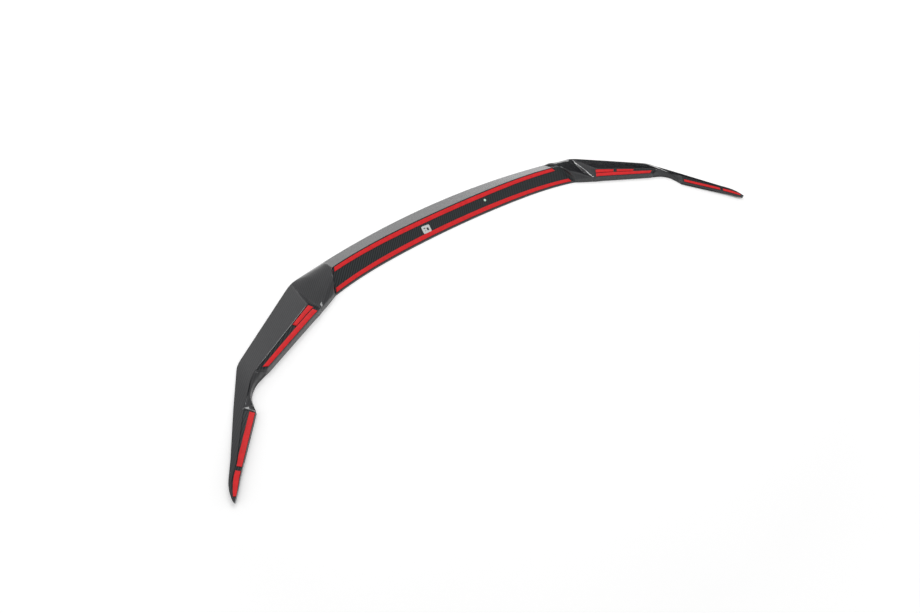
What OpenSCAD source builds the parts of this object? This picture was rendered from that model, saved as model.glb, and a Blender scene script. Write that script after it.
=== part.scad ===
// Front bumper lip: one moulded carbon-fibre shell with foam tape on its mating faces.
// X runs across the car, -Y points to the front and +Z is up. The lip lies on its open
// underside with the mating faces up. The origin is on the floor, under the middle of the box.

/* [Overall] */
// Width across the two wing tips
overall_w = 1800; // [1780:5:1820]
// Distance from the foremost point back to the wing tips
sweep = 540; // [530:2:550]
// Thickness of the moulded wall
wall = 2.5; // [2:0.1:3]
// Height of the front edge above the floor
edge_h = 3; // [2.5:0.5:5]

/* [Centre stretch] */
// Half width of the centre recess along the front edge
recess_half = 425; // [418:1:430]
// How far the front edge has swept back where the recess ends
edge_rise = 38.4; // [36:0.2:41]
// Distance of the ridge behind the front edge in the middle
ridge_back = 63.5; // [60:0.5:67]
// How far the ridge has swept back where the recess ends
ridge_rise = 31.5; // [29:0.5:34]
// Height of the ridge
ridge_h = 38.5; // [35:0.5:41]
// Distance of the rear edge behind the front edge in the middle
rear_back = 116; // [113:0.5:120]
// How far the rear edge has swept back where the recess ends
rear_rise = 42.8; // [40:0.2:46]
// Height of the rear edge of the recess
rear_h = 5.5; // [5:0.5:7]
// Height of the rear rim where the cap starts
cap_rim_h = 14; // [12:0.5:16]
// Depth of the mating faces below the edges around them
recess_drop = 2.5; // [1.5:0.5:3]

/* [Wings] */
// Half width at the shoulder of the outer edge
shoulder_x = 537; // [533:1:541]
// Distance of the shoulder behind the front
shoulder_back = 61; // [58:1:64]
// Half width at the bend of the outer edge
bend_x = 763; // [759:1:767]
// Distance of the bend behind the front
bend_back = 231; // [227:1:235]
// Height of the valley between cap and wing
fold_h = 11; // [9:0.5:13]
// Height of the crease where the wing pad starts
crease_h = 28; // [25:0.5:30]
// Height of the crease at the outer end of the wing pad
pad_end_h = 25; // [22:0.5:27]
// Height of the rear rim of the wing pad
rim_h = 19; // [17:0.5:20]

/* [Tips] */
// Height of the crease where the tip pad starts
tip_crease_h = 14; // [13:0.5:15]
// Height of the rear rim where the tip pad starts
tip_rim_h = 11; // [10:0.5:12]
// Height of the crease at the tip end
tip_end_h = 12; // [11:0.5:13]

/* [Tape and labels] */
// Width of the tape strips
tape_w = 12; // [10:0.5:13]
// Thickness of the foam
foam_t = 1.2; // [0.8:0.1:2]
// Thickness of the release liner
liner_t = 0.4; // [0.3:0.1:0.6]
// Margin between a centre strip and the edge of its recess
centre_gap = 3; // [2:0.5:4]
// Margin between a wing or tip strip and the rear rim
pad_gap = 1.5; // [1:0.5:2]
// Side of the square label
label_w = 24; // [18:1:28]
// Diameter of the round dot
dot_d = 8; // [5:0.5:12]

/* [Hidden] */

// Small sizes of the section
nose_inset = 1.5;
ridge_round = 2.5;
ridge_flat = 1.5;
step_run = 3;
strip_gap = 1;
cap_front_bulge = 8;
cap_rear_bulge = 5;
tip_hollow = 0.5;

// Places along the lip, as values of the loft parameter t: 0 in the middle, 15 at a wing tip
t_middle = 0.1;
t_recess = 2;
t_cap = 3;
t_fold = 5;
t_pad = 6;
t_pad_end = 8;
t_tip_pad = 12;
t_step = 12.03;
t_gap = 13;
t_tip = 15;

// Where the strips start and end
t_centre_front = 1.93;
t_centre_rear = 1.93;
t_short_end = 7.25;
t_outer_start = 7.31;
t_outer_end = 7.6;
t_long_end = 7.93;
t_tip_start = 12.08;
t_gap_a = 12.97;
t_gap_b = 13.03;
t_tip_end = 14.6;

// Where the label and the dot lie, and how far down the recess they are
label_t = 0.45;
label_f = 0.56;
dot_t = -0.475;
dot_f = 0.43;

// Three rails carry the loft. Each is a chain of points [x, distance back, height]; a middle
// point bends a stretch, and a stretch without one is straight.
function between(p, q, f) = p + (q - p) * f;
function curve(p, c, q, f) = between(between(p, c, f), between(c, q, f), f);
function stretch(s, f) = len(s) == 3 ? curve(s[0], s[1], s[2], f) : between(s[0], s[1], f);
function rail(chain, t) = let (i = min(floor(t), len(chain) - 1)) stretch(chain[i], t - i);

// The outer edge, from the middle of the nose to the wing tip
edge_mid = [230, edge_rise * 0.292, edge_h];
edge_recess = [recess_half, edge_rise, edge_h];
edge_cap = [recess_half + step_run, edge_rise + 0.6, edge_h];
edge_turn = [shoulder_x - 25, shoulder_back - 5.5, edge_h];
edge_fold = [shoulder_x, shoulder_back + 1.5, edge_h];
edge_pad = [shoulder_x + 4, shoulder_back + 3.7, edge_h];
edge_wing = [shoulder_x + 23, shoulder_back + 15.7, edge_h];
edge_wing_end = [bend_x - 19, bend_back - 16.7, edge_h];
edge_bend_in = [bend_x - 9, bend_back - 9, edge_h];
edge_bend = [bend_x + 0.5, bend_back + 1, edge_h];
edge_notch = [bend_x + 13, bend_back + 24.5, edge_h];
edge_tip_pad = [bend_x + 52, bend_back + 102.5, edge_h];
edge_gap = [overall_w / 2 - 29, sweep - 93.5, edge_h + 2];
edge_tip_end = [overall_w / 2 - 11, sweep - 56, edge_h + 3];
edge_apex = [overall_w / 2, sweep - 2, edge_h + 4];
edge = [
    [[0, 0, edge_h], [115, 0, edge_h], edge_mid],
    [edge_mid, [327.5, edge_rise * 0.54, edge_h], edge_recess],
    [edge_recess, edge_cap],
    [edge_cap, edge_turn],
    [edge_turn, [shoulder_x - 10, shoulder_back - 2.7, edge_h], edge_fold],
    [edge_fold, edge_pad],
    [edge_pad, [shoulder_x + 12, shoulder_back + 7.7, edge_h], edge_wing],
    [edge_wing, edge_wing_end],
    [edge_wing_end, edge_bend_in],
    [edge_bend_in, edge_bend],
    [edge_bend, [bend_x + 5.5, bend_back + 9.5, edge_h], edge_notch],
    [edge_notch, edge_tip_pad],
    [edge_tip_pad, edge_gap],
    [edge_gap, edge_tip_end],
    [edge_tip_end, [overall_w / 2 - 0.2, sweep - 32, edge_h + 3.5], edge_apex]];

// The ridge of the centre stretch, and the crease that follows it along the wing
ridge_mid = [228, ridge_back + ridge_rise * 0.203, ridge_h];
ridge_end = [recess_half + 1, ridge_back + ridge_rise + 0.5, ridge_h];
ridge_cap = [recess_half + 4, ridge_back + ridge_rise + 1.5, ridge_h];
crease_turn = [481, 124, between(ridge_h, fold_h, 0.45)];
crease_fold = [527, 142, fold_h];
crease_pad = [543, 171, crease_h];
crease_wing = [562, 181.9, crease_h - 0.3];
crease_end = [732, 279.5, pad_end_h];
crease_floor_end = [743, 287, pad_end_h - 1];
crease_bend = [756, 297, between(pad_end_h, tip_crease_h, 0.5)];
crease_notch = [772, 319, tip_crease_h + 1.5];
crease_tip_pad = [800, 353, tip_crease_h];
crease_gap = [overall_w / 2 - 33, sweep - 77, tip_crease_h - 0.5];
crease_tip = [overall_w / 2 - 17, sweep - 52, tip_end_h + 0.5];
crease_apex = [overall_w / 2 - 0.8, sweep - 1.2, tip_end_h - 0.5];
crease = [
    [[0, ridge_back, ridge_h], [130, ridge_back, ridge_h], ridge_mid],
    [ridge_mid, [340, ridge_back + ridge_rise * 0.444, ridge_h], ridge_end],
    [ridge_end, ridge_cap],
    [ridge_cap, crease_turn],
    [crease_turn, crease_fold],
    [crease_fold, crease_pad],
    [crease_pad, crease_wing],
    [crease_wing, crease_end],
    [crease_end, crease_floor_end],
    [crease_floor_end, crease_bend],
    [crease_bend, crease_notch],
    [crease_notch, crease_tip_pad],
    [crease_tip_pad, crease_gap],
    [crease_gap, crease_tip],
    [crease_tip, [overall_w / 2 - 4, sweep - 24, tip_end_h], crease_apex]];

// The top of the rear edge and of the rims
rear_mid = [247, rear_back + rear_rise * 0.215, rear_h];
rear_end = [457, rear_back + rear_rise, rear_h];
rim_cap = [460, rear_back + rear_rise + 1.2, cap_rim_h];
rim_turn = [494, 180, rim_h - 3];
rim_fold = [516, 191, rim_h - 2];
rim_pad = [523, 196, rim_h];
rim_wing = [544, 206, rim_h];
rim_end = [709, 286.5, rim_h - 1];
rim_floor_end = [720, 290, 5];
rim_bend = [745, 301, 4];
rim_notch = [769, 326, 3.5];
rim_tip_pad = [779, 374, tip_rim_h];
rim_gap = [overall_w / 2 - 43, sweep - 65.5, tip_rim_h - 0.5];
rim_tip = [overall_w / 2 - 26, sweep - 43, tip_rim_h - 0.5];
rim_apex = [overall_w / 2 - 2, sweep, tip_rim_h - 0.5];
rim = [
    [[0, rear_back, rear_h], [130, rear_back, rear_h], rear_mid],
    [rear_mid, [372, rear_back + rear_rise * 0.44, rear_h], rear_end],
    [rear_end, rim_cap],
    [rim_cap, rim_turn],
    [rim_turn, rim_fold],
    [rim_fold, rim_pad],
    [rim_pad, rim_wing],
    [rim_wing, rim_end],
    [rim_end, rim_floor_end],
    [rim_floor_end, rim_bend],
    [rim_bend, [759, 311, 3.8], rim_notch],
    [rim_notch, [776, 340, 3.5], rim_tip_pad],
    [rim_tip_pad, rim_gap],
    [rim_gap, rim_tip],
    [rim_tip, [overall_w / 2 - 10, sweep - 21, tip_rim_h - 0.5], rim_apex]];

// The section at t
up = [0, 0, 1];
function unit(v) = v / norm(v);
function flat(v) = [v[0], v[1], 0];
function at_height(p, z) = [p[0], p[1], z];
function ramp(t, a, b) = max(0, min(1, (t - a) / (b - a)));
function hump(f) = 4 * f * (1 - f);
function across(t) = unit(flat(rail(rim, t) - rail(edge, t)));

// Depth of the mating face below the crease: nothing on the caps and in the notches
function drop(t) =
    t <= t_recess || (t >= t_pad && t <= t_pad_end) || t >= t_step
    ? recess_drop * (1 - ramp(t, t_tip - 1, t_tip))
    : 0;
// The caps bulge over the straight lines from edge to crease to rim
function bulge(t, size) = t < t_cap || t > t_fold ? 0 : size * (1 - ramp(t, t_cap, t_fold));

// The front face, from the outer edge at f = 0 to the crease at f = 1
function front_point(t, f) =
    between(rail(edge, t), rail(crease, t), f) + up * bulge(t, cap_front_bulge) * hump(f);
// The mating face, from its foot below the crease at f = 0 to the rim at f = 1
function foot(t) = rail(crease, t) - up * drop(t);
function rear_point(t, f) =
    between(foot(t), rail(rim, t), f) + up * bulge(t, cap_rear_bulge) * hump(f);

// Distances from the foot to the two edges of the front strip and of the rear strip
function strip_edges(t) =
    let (
        span = norm(rail(rim, t) - foot(t)),
        centre = t <= t_cap,
        b2 = span - min(centre ? centre_gap : pad_gap, span * 0.1),
        b1 = max(b2 - tape_w, span * 0.25),
        a2 = centre ? centre_gap + tape_w : b1 - min(strip_gap, span * 0.05),
        a1 = centre ? centre_gap : max(a2 - tape_w, span * 0.12)
    )
    [for (d = [a1, a2, b1, b2]) d / span];

// Outer side of the section: nose, front face, rounded ridge, step, mating face and rim
function outer(t) =
    let (
        e = rail(edge, t),
        k = rail(crease, t),
        r = rail(rim, t),
        small = min(1, norm(k - e) / 20),
        s = strip_edges(t),
        flat_f = s[0] * 0.5
    )
    [
        at_height(e + across(t) * nose_inset * small, 0),
        at_height(e, edge_h * 0.35),
        e,
        front_point(t, 1 / 3),
        front_point(t, 2 / 3),
        front_point(t, 1 - ridge_round * small / norm(k - e)),
        at_height(front_point(t, 1), k[2] - 0.4 * small),
        rear_point(t, flat_f),
        rear_point(t, s[0]),
        rear_point(t, s[1]),
        rear_point(t, s[2]),
        rear_point(t, s[3]),
        r,
        at_height(r + across(t) * nose_inset * (2 * hollow(t) - 1) * small, 0)
    ];

// Inner side: the same points moved down by the wall, kept clear of the nose and the rim.
// Towards the tips the hollow fades to a shallow one.
function hollow(t) = 1 - ramp(t, t_gap - 0.3, t_gap + 0.2);
function inner(t) =
    let (
        e = rail(edge, t),
        k = rail(crease, t),
        r = rail(rim, t),
        o = outer(t),
        front_run = norm(flat(k - e)),
        rear_run = norm(flat(r - k)),
        v_front = wall * norm(k - e) / front_run,
        v_rear = wall * norm(r - foot(t)) / rear_run,
        f0 = min((nose_inset + wall) / front_run, 0.25),
        nose = [for (f = [1, 1.15, 1.3]) front_point(t, f0 * f)],
        shrink = 1 - min(wall / rear_run, 0.3),
        s = strip_edges(t),
        rear = [for (f = [s[0] * 0.5, s[0], s[1], s[2], s[3], 1]) rear_point(t, f * shrink)],
        last = rear[5],
        raw = concat(
            nose,
            [for (i = [3:5]) o[i]],
            [at_height(k, k[2] - drop(t))],
            rear,
            [between(last, r, 0.6)]),
        sink = [for (i = [0:13]) i < 6 ? v_front : v_rear],
        lift = [for (i = [0:13]) i == 0 || i == 13 ? 0 : i == 1 ? 0.5 : 1]
    )
    [for (i = [0:13]) at_height(raw[i], lift[i] * max(tip_hollow, (raw[i][2] - sink[i]) * hollow(t)))];

// Places of the sections along one half
function steps(a, b, n) = [for (i = [0:n - 1]) a + (b - a) * i / n];
half = concat(
    steps(t_middle, 1, 6), steps(1, t_centre_front, 6), [t_centre_front, t_recess],
    steps(t_cap, 4, 4), steps(4, t_fold, 3), [t_fold],
    steps(t_pad, 7, 2), [7, t_short_end, t_outer_start, t_outer_end, t_long_end, t_pad_end],
    steps(8.25, 9, 2), steps(9, 10, 2), steps(10, 11, 4), steps(11, 12, 4),
    [12, t_step, t_tip_start], steps(12.3, t_gap_a, 3), [t_gap_a, t_gap_b, 13.4, 14, 14.3],
    [t_tip_end, 14.8, 14.93, t_tip]);
last = len(half) - 1;
stations = concat([for (i = [last:-1:0]) -half[i]], half);

// The right-hand side mirrors the left-hand one. Distances back become Y.
function place(p, t) = [t < 0 ? -p[0] : p[0], p[1] - sweep / 2, p[2]];

// Loft through closed rings of n points. The rings run the same way round on both halves, and
// the diagonals of the cells mirror each other.
module loft(rings, turned) {
    n = len(rings[0]);
    m = len(rings);
    points = [for (r = rings) each r];
    cells = [for (s = [0:m - 2], j = [0:n - 1])
        let (
            a = s * n + j,
            b = s * n + (j + 1) % n,
            c = a + n,
            d = b + n,
            left = rings[s][0][0] + rings[s + 1][0][0] > 0
        )
        each left != turned ? [[a, b, d], [a, d, c]] : [[a, b, c], [b, d, c]]];
    first_end = [for (j = [1:n / 2 - 1])
        each [[j - 1, n - 1 - j, j], [j - 1, n - j, n - 1 - j]]];
    last_end = [for (f = first_end) [for (i = [2:-1:0]) f[i] + (m - 1) * n]];
    polyhedron(points, concat(cells, first_end, last_end));
}

module lip_shell() {
    rings = [for (t = stations)
        let (a = abs(t), o = outer(a), i = inner(a))
        [for (p = concat(o, [for (k = [13:-1:0]) i[k]])) place(p, t)]];
    color("#2b2e30") loft(rings, false);
}

// A strip follows two neighbouring lines of the mating face between two places
function layer(t, line, low, high) =
    let (
        a = abs(t),
        o = outer(a),
        p = o[line],
        q = o[line + 1],
        ahead = cross(q - p, up),
        n = unit(cross(ahead, q - p)),
        ring = [q + n * low, p + n * low, p + n * high, q + n * high]
    )
    [for (v = ring) place(v, t)];

module strip(from, to, line, low, high) {
    places = [for (t = stations) if (t >= from && t <= to) t];
    loft([for (t = places) layer(t, line, low, high)], true);
}

module foam(from, to, line) {
    color("#23262b") strip(from, to, line, 0, foam_t);
}

module liner(from, to, line) {
    color("#d23338") strip(from, to, line, foam_t, foam_t + liner_t);
}

// Label and dot lie on the centre recess, turned with the surface under them
module on_recess(t, f) {
    o = rear_point(abs(t), f);
    run = unit(rail(rim, abs(t)) - foot(abs(t)));
    near = rail(crease, abs(t) + 0.1) - rail(crease, abs(t));
    along = unit(near - run * (near * run)) * (t < 0 ? -1 : 1);
    side = t < 0 ? [-1, 1, 1] : [1, 1, 1];
    u = [for (i = [0:2]) along[i] * side[i]];
    v = [for (i = [0:2]) run[i] * side[i]];
    w = cross(u, v);
    p = place(o, t);
    multmatrix([
        [u[0], v[0], w[0], p[0]],
        [u[1], v[1], w[1], p[1]],
        [u[2], v[2], w[2], p[2]],
        [0, 0, 0, 1]])
        children();
}

module inspection_label() {
    color("#c5c8c6") on_recess(label_t, label_f) translate([-label_w / 2, -label_w / 2, 0])
        cube([label_w, label_w, liner_t]);
}

module round_dot() {
    color("#cceed7") on_recess(dot_t, dot_f) cylinder(d = dot_d, h = liner_t, $fn = 32);
}

lip_shell();
foam(-t_centre_front, t_centre_front, 8);  // foam_centre_front
foam(-t_centre_rear, t_centre_rear, 10);  // foam_centre_rear
foam(t_pad, t_short_end, 8);  // foam_wing_short_l
foam(-t_short_end, -t_pad, 8);  // foam_wing_short_r
foam(-t_outer_end, -t_outer_start, 8);  // foam_wing_outer_r
foam(t_pad, t_long_end, 10);  // foam_wing_long_l
foam(-t_long_end, -t_pad, 10);  // foam_wing_long_r
foam(t_tip_start, t_gap_a, 10);  // foam_tip_long_l
foam(-t_gap_a, -t_tip_start, 10);  // foam_tip_long_r
foam(t_gap_b, t_tip_end, 10);  // foam_tip_short_l
foam(-t_tip_end, -t_gap_b, 10);  // foam_tip_short_r
liner(-t_centre_front, t_centre_front, 8);  // liner_centre_front
liner(-t_centre_rear, t_centre_rear, 10);  // liner_centre_rear
liner(t_pad, t_short_end, 8);  // liner_wing_short_l
liner(-t_short_end, -t_pad, 8);  // liner_wing_short_r
liner(-t_outer_end, -t_outer_start, 8);  // liner_wing_outer_r
liner(t_pad, t_long_end, 10);  // liner_wing_long_l
liner(-t_long_end, -t_pad, 10);  // liner_wing_long_r
liner(t_tip_start, t_gap_a, 10);  // liner_tip_long_l
liner(-t_gap_a, -t_tip_start, 10);  // liner_tip_long_r
liner(t_gap_b, t_tip_end, 10);  // liner_tip_short_l
liner(-t_tip_end, -t_gap_b, 10);  // liner_tip_short_r
inspection_label();
round_dot();
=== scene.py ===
# %% [markdown]
# # A carbon front bumper lip
# The lip is one thin moulded shell, 1.8 m wide, that is taped round the lower front of a car.
# It lies here with the faces that meet the bumper on top. Strips of foam tape with a red
# release liner run along those faces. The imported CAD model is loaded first: it fixes the size
# and the place of everything. The new surfaces follow the same three lines, moved by a few
# millimetres here and there to come closer to the photograph.

import bpy
import numpy as np
from mathutils import Matrix


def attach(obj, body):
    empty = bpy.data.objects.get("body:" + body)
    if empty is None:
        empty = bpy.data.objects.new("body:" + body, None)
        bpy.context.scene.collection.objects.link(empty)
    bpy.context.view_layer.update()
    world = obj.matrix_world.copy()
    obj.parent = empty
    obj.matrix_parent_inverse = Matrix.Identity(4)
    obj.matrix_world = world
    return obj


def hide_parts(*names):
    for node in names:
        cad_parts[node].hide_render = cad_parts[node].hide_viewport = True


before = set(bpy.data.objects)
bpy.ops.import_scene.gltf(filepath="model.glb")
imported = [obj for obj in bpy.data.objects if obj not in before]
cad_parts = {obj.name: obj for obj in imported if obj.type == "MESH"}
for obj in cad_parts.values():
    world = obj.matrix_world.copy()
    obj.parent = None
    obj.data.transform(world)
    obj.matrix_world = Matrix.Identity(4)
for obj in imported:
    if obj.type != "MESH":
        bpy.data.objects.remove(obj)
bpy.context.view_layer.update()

# %% [markdown]
# ## Camera
# The photograph looks down on the lip from behind one of its ends, with a wide lens and a
# slight roll. An orientation is easiest to write as three directions at right angles, which
# become the columns of the camera's matrix.

# %% Camera
def camera_matrix(azimuth, elevation, roll, place):
    """Matrix of a camera at place: its back axis points to azimuth and elevation, and its
    other two axes are then turned about it by roll. Angles are in degrees."""
    a, e, r = np.radians([azimuth, elevation, roll])
    back = np.array([np.sin(a) * np.cos(e), -np.cos(a) * np.cos(e), np.sin(e)])
    level = np.array([np.cos(a), np.sin(a), 0.0])
    upright = np.cross(level, -back)
    right = np.cos(r) * level + np.sin(r) * upright
    above = np.cos(r) * upright - np.sin(r) * level
    matrix = np.eye(4)
    matrix[:3] = np.column_stack([right, above, back, place])
    return Matrix(matrix.tolist())


camera_data = bpy.data.cameras.new("camera")
camera_data.lens = 21.913
camera_data.sensor_width = 36
camera = bpy.data.objects.new("camera", camera_data)
camera.matrix_world = camera_matrix(azimuth=137.08, elevation=50.56, roll=7.2,
                                    place=(0.858, 0.818, 1.176))
bpy.context.scene.collection.objects.link(camera)
bpy.context.scene.camera = camera
print("Camera at", [round(c, 3) for c in camera.location])

# %% [markdown]
# ## Three lines carry the shape
# The outer edge, the crease and the rear rim run from the middle of the nose (place 0) to a
# wing tip (place 15). Each is a chain of points: across, distance back and height, in mm. A
# few stretches bend, and the rest are straight, which gives the lip its folded look.

# %% Points of the three lines
EDGE = [(0, 0, 3), (230, 11.2, 3), (425, 38.4, 3), (428, 39, 3), (512, 55.5, 3),
        (537, 62.5, 3), (541, 64.7, 3), (560, 76.7, 3), (744, 214.3, 3), (754, 222, 3),
        (763.5, 232, 3), (776, 255.5, 3), (815, 333.5, 7), (868.8, 447.6, 13.5),
        (887.6, 484, 15.5), (902, 536.5, 14)]
CREASE = [(0, 66.5, 38.5), (228, 72.9, 38.5), (426, 98.5, 38.5), (429, 99.5, 38.5),
          (481, 124, 26.1), (527, 142, 11), (543, 171, 30), (562, 181.9, 29.7),
          (732, 279.5, 27), (743, 287, 26), (756, 297, 20.7), (772, 319, 16),
          (798, 350, 14.5), (864.5, 464.5, 15.5), (883, 488.5, 15.5), (901, 539, 13.5)]
RIM = [(0, 119.5, 5.5), (247, 128.7, 5.5), (457, 162.3, 5.5), (460, 163.5, 14),
       (494, 182, 17), (516, 192.5, 18), (523, 197, 20), (544, 206, 20), (709, 286.5, 19),
       (720, 290, 5), (745, 301, 4), (769, 326, 3.5), (777, 373, 13), (853.6, 476.3, 13.5),
       (870.8, 499.3, 13), (899.5, 540, 12.5)]
# The stretches that bend, by the number of their first point, with the point they lean to
EDGE_BENDS = {0: (115, 0, 3), 1: (327.5, 20.7, 3), 4: (527, 58.3, 3), 6: (549, 68.7, 3),
              10: (768.5, 240.5, 3), 14: (901.4, 508.2, 15.5)}
CREASE_BENDS = {0: (130, 66.5, 38.5), 1: (340, 80.5, 38.5), 14: (896.3, 512.2, 15)}
RIM_BENDS = {0: (130, 119.5, 5.5), 1: (372, 138.3, 5.5), 10: (759, 311, 3.8),
             11: (776, 340, 3.5), 14: (882.6, 519.8, 13)}
print(len(EDGE), "points on each line")

# %% [markdown]
# ## A line read at any place
# A real mould has no knife edges, so every corner of a line is eased by a few millimetres.
# One kind of curve does both jobs: a quadratic one bends a stretch, and a short one takes the
# place of a corner.

# %% Read a line
# How far each corner is eased, in mm, for places 1 to 14
EASE = {1: 1, 2: 1.3, 3: 1.3, 4: 9, 5: 2.5, 6: 6, 7: 8, 8: 3, 9: 4, 10: 6, 11: 8, 12: 3,
        13: 6, 14: 6}
EASE_SHARE = 0.45  # most of a stretch that the easing of one corner may take


def bezier(p, c, q, f):
    """Quadratic curve from p to q that leans to c: the weights are (1-f)^2, 2f(1-f), f^2."""
    f = np.asarray(f)[..., None]
    return p * (1 - f) ** 2 + c * 2 * f * (1 - f) + q * f ** 2


class Line:
    """A chain of points with bends, read at any place t by the curve of its stretch."""

    def __init__(self, points, bends):
        self.points = np.array(points, float)
        self.middles = (self.points[1:] + self.points[:-1]) / 2
        for stretch, middle in bends.items():
            self.middles[stretch] = middle
        self.lengths = np.linalg.norm(np.diff(self.points, axis=0), axis=1)

    def sharp(self, t):
        """The line with its corners left sharp."""
        i = np.clip(np.floor(t).astype(int), 0, len(self.middles) - 1)
        return bezier(self.points[i], self.middles[i], self.points[i + 1], t - i)

    def at(self, t):
        """The line with each corner replaced by a curve from the place EASE mm before it to
        the place EASE mm after it, with the corner as its lean point."""
        t = np.asarray(t, float)
        p = self.sharp(t)
        for corner, ease in EASE.items():
            before, after = self.lengths[corner - 1], self.lengths[corner]
            ease = min(ease, before * EASE_SHARE, after * EASE_SHARE)
            ends = np.array([corner - ease / before, corner + ease / after])
            f = np.interp(t, [ends[0], corner, ends[1]], [0, 0.5, 1])
            start, stop = self.sharp(ends)
            inside = ((t > ends[0]) & (t < ends[1]))[..., None]
            p = np.where(inside, bezier(start, self.points[corner], stop, f), p)
        return p


edge, crease, rim = Line(EDGE, EDGE_BENDS), Line(CREASE, CREASE_BENDS), Line(RIM, RIM_BENDS)
print("Length of each line in mm:", [round(float(l.lengths.sum())) for l in (edge, crease, rim)])

# %% [markdown]
# ## The section at one place
# A section starts under the nose, climbs the front face to the crease, steps down by 2 mm to
# the mating face, and crosses it to the rim. How deep the step is, and how round the faces
# are, changes along the lip. Each change is a smooth ramp between two places.

# %% Small helpers
UP = np.array([0.0, 0.0, 1.0])


def ramp(t, a, b):
    """0 before a, 1 after b, and 3x^2 - 2x^3 between them."""
    x = np.clip((np.asarray(t, float) - a) / (b - a), 0, 1)
    return x * x * (3 - 2 * x)


def plateau(t, a, b, c, d):
    """0 before a, 1 from b to c, 0 after d, with a ramp at each side."""
    return ramp(t, a, b) * (1 - ramp(t, c, d))


def length(v):
    """Length of each vector: the root of the sum of its squares."""
    return np.linalg.norm(v, axis=-1, keepdims=True)


def unit(v):
    """Each vector divided by its length."""
    return v / length(v)


def mix(a, b, share):
    """a for share 0, b for share 1, and on the straight way between them otherwise."""
    return a + (b - a) * share


def with_height(p, z):
    """Copy of the points at height z."""
    p = p.copy()
    p[..., 2] = z
    return p


print("A plateau from 1 to 2 at 0.5, 1.5 and 2.5:", plateau([0.5, 1.5, 2.5], 0, 1, 2, 3))

# %% Step and crease
STEP = 2.0  # depth of the mating face below the crease, mm


def step_depth(t):
    """Depth of the mating face below the crease: full on the centre stretch, the wing pads
    and the tip pads, none on the caps and in the notches."""
    centre = 1 - ramp(t, 2.0, 2.95)
    wing = plateau(t, 5.4, 5.98, 8.0, 8.22)
    tip = plateau(t, 12.0, 12.035, 14, 15)
    return STEP * (centre + wing + tip)


def crease_share(t):
    """Fraction of the section's length that lies in front of the crease."""
    front, rear = length(crease.at(t) - edge.at(t)), length(rim.at(t) - crease.at(t))
    return (front / (front + rear))[..., 0]


print("Step at the middle, on a cap and on a wing pad, mm:", step_depth([0, 4, 7]))

# %% [markdown]
# ## Caps and notches
# The two caps beside the centre are domed, so they get one smooth curve from edge to rim in
# place of two flat faces. In the notch before each tip the mating face rolls over and comes
# down upright. Everywhere else the faces are straight, as a folded sheet has them.

# %% The crown of the caps
def crown(t, f):
    """The caps' smooth cross section. Seen from above it is one quadratic curve from edge to
    rim past the crease line, which it meets at the fraction s of its length. Its height above
    the chord is 1-|2f-1|^3, which is flat on top and drops at both sides."""
    p, k, q = edge.at(t), crease.at(t), rim.at(t)
    s = crease_share(t)[..., None]
    lean = (k - (1 - s) ** 2 * p - s ** 2 * q) / (2 * s * (1 - s))
    place = bezier(p, lean, q, f)
    f = np.asarray(f)[..., None]
    chord = mix(p, q, f)[..., 2:]
    rise = (k - mix(p, q, s))[..., 2:] * (1 - abs(2 * f - 1) ** 3) / (1 - abs(2 * s - 1) ** 3)
    return with_height(place, (chord + rise)[..., 0])


def crown_share(t):
    """1 on the caps, 0 elsewhere, with a smooth change at the fold."""
    return plateau(t, 2.93, 3.12, 4.9, 5.0)


print("Middle of a cap in mm:", crown(np.array([4.0]), np.array([0.5]))[0].round(1))

# %% Front face and mating face
def front_face(t, f):
    """Point at fraction f on the way from edge to crease, on the crown where there is one."""
    p, q = edge.at(t), crease.at(t)
    share = crown_share(t)[..., None]
    return mix(p + (q - p) * np.asarray(f)[..., None], crown(t, f * crease_share(t)), share)


def mating_face(t, f):
    """Point at fraction f on the way from the foot of the step to the rim. It goes out by
    1-(1-f)^k and down by f^k of the whole way. k is 1, a straight face, except in the notch,
    where it rises to 3, a rolled face that comes down upright."""
    p, q = crease.at(t) - UP * step_depth(t)[..., None], rim.at(t)
    f = np.broadcast_to(f, p.shape[:-1])
    s = crease_share(t)
    k = 1 + 2 * plateau(t, 8.4, 9.3, 11.0, 12.0)
    out, fall = (1 - (1 - f) ** k)[..., None], f ** k
    face = with_height(mix(p, q, out), mix(p[..., 2], q[..., 2], fall))
    return mix(face, crown(t, s + f * (1 - s)), crown_share(t)[..., None])


print("Middle of a wing pad in mm:", mating_face(np.array([7.5]), 0.5)[0].round(1))

# %% [markdown]
# ## Rounded corners
# Each corner of a section is a real radius of about a millimetre: it is what catches the
# light along an edge. The radius is drawn as an arc of points rather than left to a shading
# trick, so the highlight is the same from every side.

# %% Round the corners of a section
def rounded(corners, radii, steps=6):
    """Section through the corners: columns of points for each corner. A corner with a radius
    becomes a quadratic curve that takes at most 0.3 of the side on either hand. One more
    point, at 1.4 times that distance, keeps the faces beside it flat in the shading."""
    columns = [corners[0][:, None]]
    for j in range(1, len(corners) - 1):
        c, r = corners[j], radii[j]
        if r == 0:
            columns.append(c[:, None])
            continue
        to_a, to_b = corners[j - 1] - c, corners[j + 1] - c
        ra = np.minimum(r, length(to_a) * 0.3)
        rb = np.minimum(r, length(to_b) * 0.3)
        p, q = c + unit(to_a) * ra, c + unit(to_b) * rb
        f = np.linspace(0, 1, steps)
        arc = bezier(p[:, None], c[:, None], q[:, None], f[None])
        columns += [(c + unit(to_a) * ra * 1.4)[:, None], arc, (c + unit(to_b) * rb * 1.4)[:, None]]
    columns.append(corners[-1][:, None])
    return np.concatenate(columns, axis=1)


square = [np.array([[x, y, 0.0]]) for x, y in ((0, 0), (10, 0), (10, 10))]
print("A corner of 1 mm takes", rounded(square, [0, 1, 0]).shape[1] - 2, "points")

# %% [markdown]
# ## The stations
# The sections are close together where the shape turns quickly and further apart where it
# runs straight. The other half is the same set of places with its first number negated.

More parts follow.
